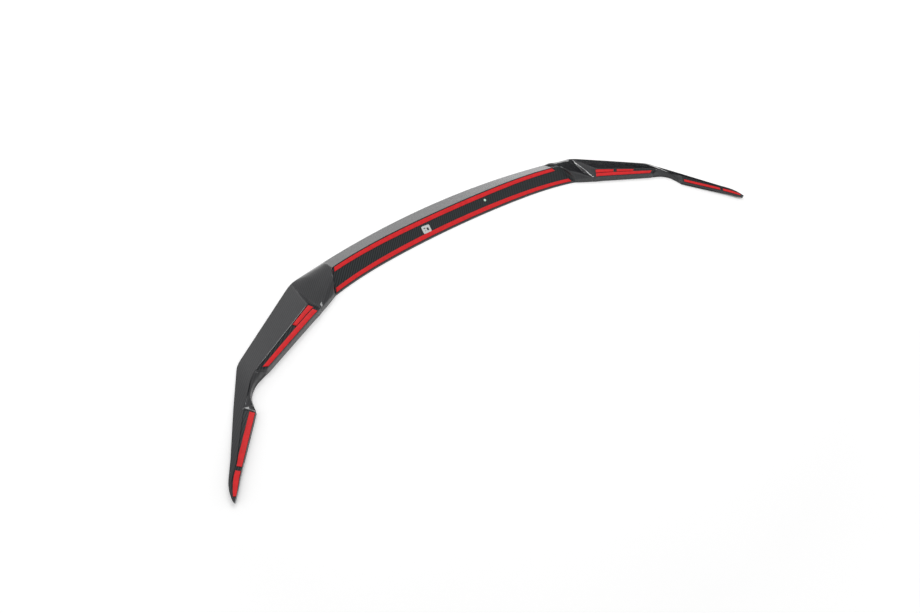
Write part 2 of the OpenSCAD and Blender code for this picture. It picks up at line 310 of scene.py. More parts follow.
# %% Places of the sections
NOSE_TO_MIDDLE = 270  # how far the middle of the shared frame is behind the nose, mm


def places():
    """Values of t from 0 to 15, close together at the steps and folds."""
    spans = [(0, 1.9, 60), (1.9, 1.99, 5), (1.99, 3.08, 36), (3.08, 4.7, 40), (4.7, 4.96, 8),
             (4.96, 5.12, 14), (5.12, 5.85, 14), (5.85, 6.1, 18), (6.1, 7.9, 46),
             (7.9, 8.3, 30), (8.3, 8.8, 8), (8.8, 9.3, 16), (9.3, 10.8, 26),
             (10.8, 11.95, 30), (11.95, 12.06, 24), (12.06, 12.9, 24), (12.9, 13.1, 10),
             (13.1, 14, 16), (14, 15, 26)]
    return np.concatenate([np.linspace(a, b, n, endpoint=False) for a, b, n in spans] + [[15]])


def settle(points, t):
    """Turns mm along the lip into metres in the shared frame, and mirrors the half where t
    is negative."""
    side = np.where(t < 0, -1, 1).reshape(-1, *[1] * (points.ndim - 2))
    place = points.copy()
    place[..., 0] *= side
    place[..., 1] -= NOSE_TO_MIDDLE
    return place / 1000


half = places()
stations = np.concatenate([-half[:0:-1], half])
print(len(stations), "sections")

# %% [markdown]
# ## Outside and inside
# The outside is a chain of corners from the toe under the nose to the heel under the rim. The
# inside is the same two faces moved down by the wall's thickness, so the shell is hollow
# underneath, as a moulded one is. The hollow closes towards the tips, which are too thin for
# it.

# %% The outside
NOSE = 3  # height of the outer edge over the centre and the wings, mm
TOE = 1.5  # distance of the toe from the edge and of the heel from the rim, mm
LEAN = 0.35  # how much further back the toe is for each mm of a higher edge
NOSE_FOOT = 0.35  # height at which the nose's front starts, as a share of the edge's height
SHELF = 1.7  # width of the shelf between the crease and its step, mm
SHELF_LEVEL = 0.85  # share of the face's slope that a full step takes out of the shelf
FOOT = 2.5  # distance from the crease to the foot of the step, mm
TIP_LIFT = 4.5  # how far the tips' lower edges are off the floor, mm
FULL_SIZE = 20  # a front face shorter than this gets a smaller toe, shelf and foot, mm
RADII = {"toe": 0.7, "edge": 1.0, "crease": 0.9, "shelf": 0.4, "foot": 0.7, "rim": 1.0}  # mm
PARTS = 8  # parts into which each face is cut


def base(t):
    """Height of the shell's lower edges: 0 up to place 12, rising evenly to TIP_LIFT at 14.2."""
    return TIP_LIFT * np.clip((t - 12) / 2.2, 0, 1)


def outer_section(t):
    """Nose, front face, crease, step, mating face and rim, as columns of rounded corners.
    The heel is outside the rim, and changes to the inside of it on the tips."""
    e, k, r = edge.at(t), crease.at(t), rim.at(t)
    across = unit((r - e) * (1, 1, 0))
    small = np.minimum(1, length(k - e) / FULL_SIZE)
    down = unit(r - k + UP * step_depth(t)[:, None])
    depth = step_depth(t)[:, None] / STEP
    shelf_drop = UP * (down[:, 2:] * SHELF * (1 - SHELF_LEVEL * depth)) * small
    shelf = k + down * (1, 1, 0) * SHELF * small + shelf_drop
    foot = k - UP * STEP * depth + down * FOOT * small
    span = FOOT * small[:, 0] / length(r - k)[:, 0]
    share = crown_share(t)[:, None]
    shelf = mix(shelf, mating_face(t, span / 2), share)
    foot = mix(foot, mating_face(t, span), share)
    z = base(t)
    toe = with_height(e + across * (TOE + (e[:, 2:] - NOSE) * LEAN) * small, z)
    toe_front = with_height(e, z + (e[:, 2] - z) * NOSE_FOOT)
    heel_out = TOE * (1 - 2 * ramp(t, 11.5, 12))[:, None]
    heel = with_height(r + across * heel_out * small, z)
    fractions = np.arange(1, PARTS) / PARTS
    front = [front_face(t, np.full(t.shape, f)) for f in fractions]
    rear = [mating_face(t, span + (1 - span) * f) for f in fractions]
    flat = [0] * len(fractions)
    corners = [toe, toe_front, e, *front, k, shelf, foot, *rear, r, heel]
    radii = [0, RADII["toe"], RADII["edge"], *flat, RADII["crease"], RADII["shelf"],
             RADII["foot"], *flat, RADII["rim"], 0]
    return rounded(corners, radii)


t = np.abs(stations)
outside = outer_section(t)
print("Outside:", outside.shape[0], "sections of", outside.shape[1], "points")

# %% The inside
WALL = 2.5  # thickness of the moulded wall, mm
GROOVE = 0.5  # depth of the groove that is left under the tips, mm


def hollow_share(t):
    """1 where the shell is hollow underneath, fading to 0 along the tip pad."""
    return 1 - ramp(t, 12.7, 13.2)[:, None]


def inner_section(t):
    """The same faces moved down by the wall, kept clear of the nose and the rim, and closing
    to a shallow groove towards the tips. A wall that slopes is sunk by its thickness over
    the cosine of its slope. The hollow starts at most a quarter of the way up the front face
    and ends at least 0.7 of the way down the mating face."""
    e, k, r = edge.at(t), crease.at(t), rim.at(t)
    front_run = length((k - e) * (1, 1, 0))
    rear_run = length((r - k) * (1, 1, 0))
    down = UP * step_depth(t)[:, None]
    deep_front = WALL * length(k - e) / front_run
    deep_rear = WALL * length(r - k + down) / rear_run
    first = np.minimum((TOE + WALL) / front_run, 0.25)[:, 0]
    reach = (1 - np.minimum(WALL / rear_run, 0.3))[:, 0]
    z = base(t)[:, None]

    def sunk(p, deep):
        height = np.maximum(GROOVE, (p[:, 2:] - deep - z) * hollow_share(t))
        return with_height(p, (z + height)[:, 0])

    ceiling = first * 1.2
    front = [sunk(front_face(t, ceiling + (1 - ceiling) * f), deep_front)
             for f in (0, 0.12, 0.3, 0.5, 0.7, 0.88)]
    rear = [sunk(mating_face(t, f * reach), deep_rear) for f in (0.12, 0.3, 0.5, 0.7, 0.88, 1)]
    start = with_height(front_face(t, first), z[:, 0])
    stop = with_height(rear[-1] + (r - rear[-1]) * 0.5, z[:, 0])
    points = [start, *front, sunk(k - down, deep_rear), *rear, stop]
    side, ridge, flat = 0.6, 1.5, [0] * 5
    return rounded(points, [0, side, *flat, ridge, *flat, side, 0], steps=3)


inside = inner_section(t)
print("Inside:", inside.shape[0], "sections of", inside.shape[1], "points")

# %% [markdown]
# ## From rings to a mesh
# Every solid here is a row of closed rings. Neighbouring rings are joined by four-cornered
# faces, and the first and the last ring are closed by one face each.

# %% Rings to a mesh
def mesh_from_rings(name, rings, materials, column_slots=None, uv=None):
    """Joins ring s to ring s+1 by quads (s,j), (s,j+1), (s+1,j+1), (s+1,j), and caps both
    ends. column_slots gives the material number of each quad as an array like the rings."""
    count, n = rings.shape[:2]
    s, j = np.meshgrid(np.arange(count - 1), np.arange(n), indexing="ij")
    a, b = s * n + j, s * n + (j + 1) % n
    quads = np.stack([a, b, b + n, a + n], axis=-1).reshape(-1, 4)
    caps = [list(range(n))[::-1], list(range((count - 1) * n, count * n))]
    mesh = bpy.data.meshes.new(name)
    mesh.from_pydata(rings.reshape(-1, 3).tolist(), [], quads.tolist() + caps)
    mesh.polygons.foreach_set("use_smooth", [True] * len(quads) + [False, False])
    for material in materials:
        mesh.materials.append(material)
    if column_slots is not None:
        slots = np.append(column_slots[: count - 1].reshape(-1), [0, 0])
        mesh.polygons.foreach_set("material_index", slots.astype(np.int32))
    if uv is not None:
        corner = np.empty(len(mesh.loops), np.int32)
        mesh.loops.foreach_get("vertex_index", corner)
        layer = mesh.uv_layers.new(name="own_place")
        layer.uv.foreach_set("vector", uv.reshape(-1, 2)[corner].astype(np.float32).reshape(-1))
    mesh.update()
    mesh.validate()
    piece = bpy.data.objects.new(name, mesh)
    bpy.context.scene.collection.objects.link(piece)
    print(name, len(mesh.polygons), "faces")
    return piece


# %% [markdown]
# ## Colours and nodes
# Colours are picked as sRGB hex values, which the shader needs as linear light. A small
# helper adds a node, fills in its sockets and links it, so that each material below reads
# from top to bottom. A noise of scale n on object coordinates swells about n times a metre.

# %% Colour and node helpers
def linear(code):
    """sRGB hex to linear: c/12.92 for dark values, ((c+0.055)/1.055)^2.4 for the others."""
    c = np.array([int(code[i:i + 2], 16) for i in (1, 3, 5)]) / 255
    c = np.where(c <= 0.04045, c / 12.92, ((c + 0.055) / 1.055) ** 2.4)
    return (*c.tolist(), 1.0)


def add(tree, kind, sockets, **settings):
    """Adds a node of a kind, and sets or links its sockets, named or numbered."""
    node = tree.nodes.new("ShaderNode" + kind)
    for name, value in settings.items():
        setattr(node, name, value)
    for key, value in sockets.items():
        if isinstance(value, bpy.types.NodeSocket):
            tree.links.new(value, node.inputs[key])
        else:
            node.inputs[key].default_value = value
    return node


def new_material(name, preview):
    """An empty node material whose viewport colour is the preview."""
    material = bpy.data.materials.new(name)
    material.use_nodes = True
    material.node_tree.nodes.clear()
    material.diffuse_color = linear(preview)
    return material, material.node_tree


print("Middle grey in linear light:", round(linear("#808080")[0], 3))

# %% [markdown]
# ## Carbon twill
# The cloth is a 2 by 2 twill of 2 mm tows under clear resin. A tow passes over two and under
# two of the others, shifted by one on each row, which makes the diagonal lines. The pattern
# is worked out from the place on the object: the cell numbers along x and along y tell which
# tow is on top, and the place within the cell gives its rounded back. Cloth that is laid by
# hand is never quite straight, so the place is first swayed by under a millimetre.

# %% The weave as nodes
TOW = 2.0  # width of a tow, mm
SWAY = 0.0016  # full width of the cloth's sway, m, over about 70 mm
ALONG, ACROSS = 150, 5000  # fibre streaks per metre: about 7 mm long and 0.2 mm wide


def twill(tree):
    """Returns three sockets: 1 where the tows along x are on top, the height of the tow's
    back, and the streaks of its fibres. The tow along x is on top where the difference of the
    cell numbers, modulo 4, is below 2."""
    place = add(tree, "TexCoord", {}).outputs["Object"]
    sway = add(tree, "TexNoise", {"Vector": place, "Scale": 14, "Detail": 1}).outputs["Color"]
    sway = add(tree, "VectorMath", {0: sway, 1: (0.5, 0.5, 0.5)}, operation="SUBTRACT").outputs[0]
    place = add(tree, "VectorMath", {0: sway, 1: (SWAY, SWAY, 0), 2: place},
                operation="MULTIPLY_ADD").outputs[0]
    cells = add(tree, "VectorMath", {0: place, "Scale": 1000 / TOW}, operation="SCALE").outputs[0]
    number = add(tree, "VectorMath", {0: cells}, operation="FLOOR").outputs[0]
    within = add(tree, "VectorMath", {0: cells}, operation="FRACTION").outputs[0]
    number = add(tree, "SeparateXYZ", {0: number})
    within = add(tree, "SeparateXYZ", {0: within})
    row = add(tree, "Math", {0: number.outputs[0], 1: number.outputs[1]}, operation="SUBTRACT")
    row = add(tree, "Math", {0: row.outputs[0], 1: 4.0}, operation="FLOORED_MODULO")
    lengthwise = add(tree, "Math", {0: row.outputs[0], 1: 1.5}, operation="LESS_THAN").outputs[0]
    across = add(tree, "Mix", {0: lengthwise, 2: within.outputs[0], 3: within.outputs[1]})
    back = add(tree, "Math", {0: across.outputs[0], 1: np.pi}, operation="MULTIPLY")
    back = add(tree, "Math", {0: back.outputs[0]}, operation="SINE").outputs[0]
    streaks = [add(tree, "Mapping", {"Vector": place, "Scale": scale}).outputs[0]
               for scale in [(ALONG, ACROSS, ALONG), (ACROSS, ALONG, ALONG)]]
    streaks = [add(tree, "TexNoise", {"Vector": s, "Scale": 1, "Detail": 1}).outputs[0]
               for s in streaks]
    streak = add(tree, "Mix", {0: lengthwise, 2: streaks[1], 3: streaks[0]}).outputs[0]
    return lengthwise, back, streak


print("Twill diagonals repeat every", round(4 * TOW / 2 ** 0.5, 2), "mm")

# %% [markdown]
# ## Two finishes of the same cloth
# The visible top is polished clear coat: a dark mirror with a trace of ripple, through which
# the weave shows faintly. The mating faces are left satin, so there the weave is what you
# see. Both are one recipe with other numbers.

# %% Carbon materials
def carbon(name, light, dark, roughness, coat, coat_roughness, ripple):
    """Carbon twill in resin: two tow tones, which are a painted sheen for the way the tows along x
    and across it take the light, a rounded back to each tow, also painted darker towards its edges as
    painted shade, and a clear coat with a slow ripple about 17 mm long."""
    material, tree = new_material(name, dark)
    lengthwise, back, streak = twill(tree)
    # Painted sheen: the lighter and darker tow tones are the same fibre, lit differently by the way
    # it runs.
    tone = add(tree, "Mix", {0: lengthwise, 6: linear(dark), 7: linear(light)}, data_type="RGBA")
    streak_and_painted_shade = add(tree, "Math", {0: streak, 1: 0.8, 2: 0.6}, operation="MULTIPLY_ADD").outputs[0]
    # Painted shade: each tow's colour is darker towards its edges, where its rounded back turns away;
    # the fibre streaks add real grain.
    edges = add(tree, "Math", {0: back, 1: 0.5, 2: 0.5}, operation="MULTIPLY_ADD").outputs[0]
    streak_and_painted_shade = add(tree, "Math", {0: streak_and_painted_shade, 1: edges}, operation="MULTIPLY").outputs[0]
    tone = add(tree, "VectorMath", {0: tone.outputs[2], "Scale": streak_and_painted_shade}, operation="SCALE")
    relief = add(tree, "Bump", {"Height": back, "Strength": 0.5, "Distance": 0.00008})
    place = add(tree, "TexCoord", {}).outputs["Object"]
    wave = add(tree, "TexNoise", {"Vector": place, "Scale": 60, "Detail": 2}).outputs[0]
    skin = add(tree, "Bump", {"Height": wave, "Strength": ripple, "Distance": 0.0006})
    rough = add(tree, "MapRange", {0: wave, 1: 0.3, 2: 0.7, 3: roughness - 0.04, 4: roughness + 0.05})
    shader = add(tree, "BsdfPrincipled", {
        "Base Color": tone.outputs[0], "Roughness": rough.outputs[0], "IOR": 1.5,
        "Specular IOR Level": 0.2, "Coat Weight": coat, "Coat Roughness": coat_roughness,
        "Coat IOR": 1.5, "Normal": relief.outputs[0], "Coat Normal": skin.outputs[0]})
    add(tree, "OutputMaterial", {"Surface": shader.outputs[0]})
    return material


# The light and dark tones of each finish are a painted sheen of the tows, not two colours of fibre.
gloss_twill = carbon("carbon_twill_polished_clear_coat", light="#25262a", dark="#151519",
                     roughness=0.42, coat=1.0, coat_roughness=0.03, ripple=0.1)
satin_twill = carbon("carbon_twill_satin_resin", light="#32373a", dark="#0f1314",
                     roughness=0.5, coat=0.3, coat_roughness=0.2, ripple=0.3)
print("Nodes in each carbon material:", len(gloss_twill.node_tree.nodes))

# %% [markdown]
# ## The hidden underside
# Inside the mould the last layer is left as it comes: dark resin over cloth, matt and a
# little rough, with soft unevenness a few centimetres across.

# %% Underside material
def back_resin():
    """Dark laminate resin with the weave pressed into it."""
    material, tree = new_material("laminate_resin_rough_side", "#1c1d1e")
    back = twill(tree)[1]
    place = add(tree, "TexCoord", {}).outputs["Object"]
    patch = add(tree, "TexNoise", {"Vector": place, "Scale": 35, "Detail": 4}).outputs[0]
    tone = add(tree, "Mix", {0: patch, 6: linear("#151617"), 7: linear("#2a2b2c")}, data_type="RGBA")
    height = add(tree, "Math", {0: back, 1: 0.3, 2: patch}, operation="MULTIPLY_ADD").outputs[0]
    relief = add(tree, "Bump", {"Height": height, "Strength": 0.6, "Distance": 0.0003})
    rough = add(tree, "MapRange", {0: patch, 1: 0.3, 2: 0.7, 3: 0.42, 4: 0.62})
    shader = add(tree, "BsdfPrincipled", {
        "Base Color": tone.outputs[2], "Roughness": rough.outputs[0], "IOR": 1.5,
        "Normal": relief.outputs[0]})
    add(tree, "OutputMaterial", {"Surface": shader.outputs[0]})
    return material


resin = back_resin()
print("Underside:", resin.name)

# %% [markdown]
# ## The shell
# The two sides of the section make one ring per station. The mating faces get the satin
# twill, the rest of the top the polished one, and the inner side the rough resin.

# %% Build the shell
GLOSS, SATIN, RESIN = 0, 1, 2  # places in the shell's list of materials
FOOT_COLUMN = 43  # column in the middle of the foot's radius
SATIN_END = 14.8  # place near the tip where the mating face ends

rings = settle(np.concatenate([outside, inside[:, ::-1]], axis=1), stations)
n_outer = outside.shape[1]
rim_column = n_outer - 9  # the rim's radius and the heel take the last 9 columns
column = np.arange(rings.shape[1])[None]
pad = ((step_depth(t) > STEP * 0.5) & (t < SATIN_END))[:, None]
slots = np.where(pad & (column >= FOOT_COLUMN) & (column < rim_column), SATIN, GLOSS)
slots = np.where(column >= n_outer - 1, RESIN, slots)
# The rings are turned round so that the faces point outwards, and their slots with them
shell = mesh_from_rings("lip_shell_carbon", rings[:, ::-1], [gloss_twill, satin_twill, resin],
                        np.roll(slots[:, ::-1], -1, axis=1))
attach(shell, "root")
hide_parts("lip_shell")

# %% [markdown]
# ## Foam tape and its liner
# Each strip is two layers: a soft dark foam that is 12 mm wide, and a thin red film that
# covers it until the lip is fitted. The film is a touch wider, has rounded edges and lies
# with slight waves, because it is pressed on by hand.

# %% Tape materials
def foam_material():
    """Closed-cell polyethylene foam: dark, matt, with fine pores about 0.4 mm apart."""
    material, tree = new_material("closed_cell_foam_tape", "#1b1d20")
    place = add(tree, "TexCoord", {}).outputs["Object"]
    pores = add(tree, "TexVoronoi", {"Vector": place, "Scale": 2500}).outputs["Distance"]
    tone = add(tree, "Mix", {0: pores, 6: linear("#0d0e10"), 7: linear("#2a2c30")}, data_type="RGBA")
    relief = add(tree, "Bump", {"Height": pores, "Strength": 0.5, "Distance": 0.0001})
    shader = add(tree, "BsdfPrincipled", {
        "Base Color": tone.outputs[2], "Roughness": 0.9, "Normal": relief.outputs[0]})
    add(tree, "OutputMaterial", {"Surface": shader.outputs[0]})
    return material


def film_material(name, colour, shade):
    """Coated release film: even colour and a soft gloss, with faint handling marks about a
    centimetre across."""
    material, tree = new_material(name, colour)
    place = add(tree, "TexCoord", {}).outputs["Object"]
    marks = add(tree, "TexNoise", {"Vector": place, "Scale": 90, "Detail": 5, "Roughness": 0.6})
    marks = marks.outputs[0]
    level = add(tree, "MapRange", {0: marks, 1: 0.35, 2: 0.65}).outputs[0]
    tone = add(tree, "Mix", {0: level, 6: linear(shade), 7: linear(colour)}, data_type="RGBA")
    rough = add(tree, "MapRange", {0: marks, 1: 0.3, 2: 0.7, 3: 0.34, 4: 0.5})
    relief = add(tree, "Bump", {"Height": marks, "Strength": 0.2, "Distance": 0.0003})
    shader = add(tree, "BsdfPrincipled", {
        "Base Color": tone.outputs[2], "Roughness": rough.outputs[0], "IOR": 1.48,
        "Specular IOR Level": 0.3, "Normal": relief.outputs[0]})
    add(tree, "OutputMaterial", {"Surface": shader.outputs[0]})
    return material


foam_skin = foam_material()
red_film = film_material("release_film_red", "#df1f24", "#cc1a1f")
print("Tape:", foam_skin.name, "and", red_film.name)

# %% [markdown]
# ## Where the strips lie
# Two lines of tape share each mating face: the front line keeps to the crease over the
# centre, and the rear line keeps to the rim. A pad that is too narrow for two full widths
# gets narrower strips, as if they were trimmed to fit.

# %% Edges of the strips
TAPE = 12  # width of the tape, mm
MARGIN = 3  # from the crease or the rim to a strip over the centre, mm
PAD_MARGIN = 1.5  # from the rim to a strip on a wing or a tip, mm
GAP = 3.5  # between the two lines of tape on a wing, mm


def strip_fractions(t, line):
    """Where a strip's two edges cross the mating face, as fractions of its width. Line 0 is
    the front strip and line 1 the rear one. Each edge is a distance in mm from the crease,
    held to a share of the width where the face is narrow."""
    span = length(rim.at(t) - crease.at(t) + UP * step_depth(t)[:, None])[:, 0]
    centre = t <= 3
    rear_end = span - np.minimum(np.where(centre, MARGIN, PAD_MARGIN), span * 0.1)
    rear_start = np.maximum(rear_end - TAPE, span * 0.25)
    if line:
        return rear_start / span, rear_end / span
    front_end = np.where(centre, MARGIN + TAPE, rear_start - np.minimum(GAP, span * 0.1))
    front_start = np.where(centre, MARGIN, np.maximum(front_end - TAPE, span * 0.12))
    return front_start / span, front_end / span


share = [round(float(f[0]), 2) for f in strip_fractions(np.array([7.0]), 1)]
print("The rear strip crosses a wing pad from", share[0], "to", share[1])

# %% [markdown]
# ## The body of a strip
# A strip is a flat rounded rectangle carried along the mating face. At each place it needs
# three directions: across the strip, along it, and the upright one at right angles to both.

# %% Rings round a strip
SHORT_STEP = 0.004  # difference of places that gives the direction along the strip
EDGE_RADIUS = 0.35  # largest radius of a strip's long edges, mm


def strip_rings(t, line, low, high, margin, wave):
    """Rings round a flat strip that lies on the mating face: a rounded rectangle from low to
    high above it, spread across the strip's width less a margin on each side. It is lifted
    by two sine waves, 107 mm and 46 mm long."""
    a = np.abs(t)
    f0, f1 = strip_fractions(a, line)
    p, q = mating_face(a, f0), mating_face(a, f1)
    ahead = mating_face(a + SHORT_STEP, f0) - mating_face(a - SHORT_STEP, f0)
    cross = unit(q - p)
    normal = unit(np.cross(cross, ahead))
    normal *= np.sign(normal[:, 2:])
    r = min((high - low) * 0.45, EDGE_RADIUS)
    turn = np.linspace(0, np.pi / 2, 4)
    corner = np.stack([np.cos(turn), np.sin(turn)], axis=1) * r
    w, h = length(q - p) / 2 - margin - r, (high - low) / 2 - r
    sides = []
    for sx, sy in [(1, 1), (-1, 1), (-1, -1), (1, -1)]:
        arc = corner if sx * sy > 0 else corner[::-1]
        x = sx * (w + arc[:, 0])
        y = np.broadcast_to(sy * (h + arc[:, 1]), x.shape)
        sides.append(np.stack([x, y], axis=-1))
    outline = np.concatenate(sides, axis=1)
    run = np.concatenate([[0], np.cumsum(length(np.diff(p, axis=0))[:, 0])])
    slow, quick = np.sin(run / 17 + line), np.sin(run / 7.3 + 2 * line)
    lift = wave * (0.6 * slow + 0.4 * quick) * 0.5
    middle = (p + q) / 2 + normal * ((low + high) / 2 + wave * 0.5 + lift)[:, None]
    ring = middle[:, None] + cross[:, None] * outline[..., :1] + normal[:, None] * outline[..., 1:]
    return settle(ring, t)


def strip_places(start, stop, step=0.02):
    """Places from start to stop, at most about a step apart and never fewer than eight."""
    return np.linspace(start, stop, max(8, int(abs(stop - start) / step) + 1))


print("A strip one place long has", len(strip_places(0, 1)), "rings")

# %% [markdown]
# ## The eleven strips
# The tape is laid by hand, so the two halves are only almost alike: strips start and end at
# slightly different places, and the side with negative places has one extra short piece. Each
# strip is made twice, as foam and as film, and both pieces ride on the lip.

# %% Lay the strips
FOAM, FILM = 1.2, 0.4  # thickness of the two layers, mm
OVERHANG = 0.5  # how far the film reaches past the foam on each side, mm
WAVE = 0.12  # how far the film's waves lift it, mm
# First place, last place and line of each strip
TAPES = {"centre_front": (-1.87, 1.98, 0), "centre_rear": (-1.94, 1.98, 1),
         "wing_short_l": (6.0, 7.25, 0), "wing_short_r": (-7.22, -6.0, 0),
         "wing_outer_r": (-7.6, -7.28, 0),
         "wing_long_l": (6.25, 7.965, 1), "wing_long_r": (-7.965, -6.0, 1),
         "tip_long_l": (12.045, 13.17, 1), "tip_long_r": (-13.0, -12.045, 1),
         "tip_short_l": (13.49, 14.78, 1), "tip_short_r": (-14.78, -13.34, 1)}

for tape, (start, stop, line) in TAPES.items():
    along = strip_places(start, stop)
    foam_rings = strip_rings(along, line, 0.0, FOAM, 0.0, 0.0)
    film_rings = strip_rings(along, line, FOAM, FOAM + FILM, -OVERHANG, WAVE)
    foam_piece = mesh_from_rings("foam_tape_" + tape, foam_rings, [foam_skin])
    film_piece = mesh_from_rings("release_film_" + tape, film_rings, [red_film])
    for piece, node, slot in ((foam_piece, "foam_", "foam"), (film_piece, "liner_", "liner")):
        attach(piece, "root")
        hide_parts(node + tape)

# %% [markdown]
# ## Label and dot
# A small square inspection label and a round dot sit in the middle of the centre recess.
# Both are thin vinyl: matt, pale and almost even. The label carries only plain bars, which
# are placed by the piece's own UV map, in mm from its middle.

# %% Sticker materials
BARS = [(-4.5, 0.5, 6.5, 9.0), (5.5, 4.0, 5.0, 1.6), (5.5, -4.2, 5.5, 3.2)]  # x, y, w, h in mm


def sticker_material(name, paper, ink):
    """Matt vinyl, with plain printed bars where its own place says so: a bar is where
    |x - its middle| is below half its width, and the same for y."""
    material, tree = new_material(name, paper)
    place = add(tree, "TexCoord", {}).outputs["Object"]
    grain = add(tree, "TexNoise", {"Vector": place, "Scale": 300, "Detail": 3}).outputs[0]
    shade = add(tree, "MapRange", {0: grain, 1: 0.3, 2: 0.7, 3: 0.9, 4: 1.0}).outputs[0]
    tone = add(tree, "VectorMath", {0: linear(paper)[:3], "Scale": shade}, operation="SCALE")
    tone = tone.outputs[0]
    if ink:
        uv = add(tree, "UVMap", {}, uv_map="own_place").outputs[0]
        axis = add(tree, "SeparateXYZ", {0: uv})
        total = None
        for x, y, w, h in BARS:
            parts = []
            for k, middle, size in ((0, x, w), (1, y, h)):
                away = add(tree, "Math", {0: axis.outputs[k], 1: middle}, operation="SUBTRACT")
                away = add(tree, "Math", {0: away.outputs[0]}, operation="ABSOLUTE")
                parts.append(add(tree, "Math", {0: away.outputs[0], 1: size / 2},
                                 operation="LESS_THAN").outputs[0])
            bar = add(tree, "Math", {0: parts[0], 1: parts[1]}, operation="MULTIPLY").outputs[0]
            total = bar if total is None else add(
                tree, "Math", {0: total, 1: bar}, operation="MAXIMUM").outputs[0]
        tone = add(tree, "Mix", {0: total, 6: tone, 7: linear(ink)}, data_type="RGBA").outputs[2]
    relief = add(tree, "Bump", {"Height": grain, "Strength": 0.15, "Distance": 0.0001})
    shader = add(tree, "BsdfPrincipled", {
        "Base Color": tone, "Roughness": 0.45, "Normal": relief.outputs[0]})
    add(tree, "OutputMaterial", {"Surface": shader.outputs[0]})
    return material


white_label = sticker_material("vinyl_label_off_white", "#cfd2d0", "#2b2d2f")
mint_dot = sticker_material("vinyl_dot_pale_mint", "#cfeedb", None)
print("Stickers:", white_label.name, "and", mint_dot.name)

# %% [markdown]
# ## A sheet with a soft edge
# One function makes both stickers. Four outlines are stacked over 0.4 mm, and the upper two
# are slightly smaller, which rounds the sheet's edge.

# %% Sticker shapes
LEVELS = [(0.0, 1.0), (0.3, 1.0), (0.37, 0.985), (0.4, 0.95)]  # height in mm and size


def sticker(name, t0, f0, half_w, half_h, power, material):
    """Thin sheet on the mating face at t0, f0. Its outline is the curve |x/a|^p + |y/b|^p = 1,
    which is an ellipse for p = 2 and a rounded rectangle for a higher p."""
    a = np.array([abs(t0)])
    middle = mating_face(a, np.array([f0]))[0]
    run = unit(rim.at(a) - crease.at(a) + UP * STEP)[0]
    near = (crease.at(a + 0.1) - crease.at(a))[0]
    along = unit(near - run * (near @ run))
    normal = np.cross(along, run)
    normal *= np.sign(normal[2])
    turn = np.linspace(0, 2 * np.pi, 49)[:-1]
    c, s = np.cos(turn), np.sin(turn)
    size = (np.abs(c) ** power + np.abs(s) ** power) ** (-1 / power)
    outline = np.stack([c * size * half_w, s * size * half_h], axis=1)
    flat = np.stack([outline * shrink for height, shrink in LEVELS])
    rise = np.array([height for height, shrink in LEVELS])[:, None, None]
    ring = middle + flat[..., :1] * along + flat[..., 1:] * run + rise * normal
    place = settle(ring, np.full(len(LEVELS), t0))
    if np.cross(place[0, 1] - place[0, 0], place[0, 2] - place[0, 1])[2] < 0:
        place, flat = place[:, ::-1], flat[:, ::-1]
    return mesh_from_rings(name, place, [material], uv=flat)


label = sticker("inspection_label_vinyl", t0=0.45, f0=0.56, half_w=14, half_h=12, power=10,
                material=white_label)
dot = sticker("round_dot_vinyl", t0=-0.475, f0=0.43, half_w=4, half_h=4, power=2,
              material=mint_dot)
for piece, node, slot in ((label, "inspection_label", "label"), (dot, "round_dot", "dot")):
    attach(piece, "root")
    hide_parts(node)

# %% [markdown]
# ## The floor
# The photograph is a product shot on white. The floor is matt paper that takes the lip's
# faint shadow. To the camera alone it also glows a little, more so far away, so that it runs
# into the white background without an edge. That glow puts no light on the lip.

# %% Floor
FLOOR = 8.0  # half the side of the floor, m


def floor_material():
    """Matt white paper with a trace of grain. It glows by 0.15 within 1 m of the middle,
    rising to 0.5 from 3 m on, and for camera rays only."""
    material, tree = new_material("paper_sweep_white", "#fcfcfc")
    place = add(tree, "TexCoord", {}).outputs["Object"]
    grain = add(tree, "TexNoise", {"Vector": place, "Scale": 3, "Detail": 2}).outputs[0]
    tone = add(tree, "Mix", {0: grain, 6: linear("#fbfbfb"), 7: linear("#fdfdfd")}, data_type="RGBA")
    seen = add(tree, "LightPath", {}).outputs["Is Camera Ray"]
    away = add(tree, "VectorMath", {0: place}, operation="LENGTH").outputs["Value"]
    lift = add(tree, "MapRange", {0: away, 1: 1.0, 2: 3.0, 3: 0.15, 4: 0.5}).outputs[0]
    glow = add(tree, "Math", {0: seen, 1: lift}, operation="MULTIPLY").outputs[0]
    shader = add(tree, "BsdfPrincipled", {
        "Base Color": tone.outputs[2], "Roughness": 1.0, "Specular IOR Level": 0.0,
        "Emission Color": (1, 1, 1, 1), "Emission Strength": glow})
    add(tree, "OutputMaterial", {"Surface": shader.outputs[0]})
    return material


def stage_piece(name, points, faces, material):
    """A flat-faced object that is part of the studio and not of the lip."""
    mesh = bpy.data.meshes.new(name)
    mesh.from_pydata(points, [], faces)
    mesh.materials.append(material)
    piece = bpy.data.objects.new(name, mesh)
    bpy.context.scene.collection.objects.link(piece)
    return piece


stage_piece("floor", [(-FLOOR, -FLOOR, 0), (FLOOR, -FLOOR, 0), (FLOOR, FLOOR, 0),
                      (-FLOOR, FLOOR, 0)], [(0, 1, 2, 3)], floor_material())
print("Floor", 2 * FLOOR, "m wide")

# %% [markdown]
# ## A dark flag
# Clear coat mirrors the studio, so its dark parts have to be there too. A folded black card
# outside the far wing keeps its outer face and the far cap dark. One half lies on the floor
# and the other stands up behind it. Only reflections see it.

# %% Flag
OFF = 0.0005  # height of the flag's flat half over the floor, m
TOP = 0.15  # height of its upright half, m


def flag_material():
    """Black velvet, which sends almost nothing back."""
    material, tree = new_material("velvet_black", "#050505")
    shader = add(tree, "BsdfPrincipled", {
        "Base Color": linear("#050505"), "Roughness": 1.0, "Specular IOR Level": 0.0})
    add(tree, "OutputMaterial", {"Surface": shader.outputs[0]})
    return material


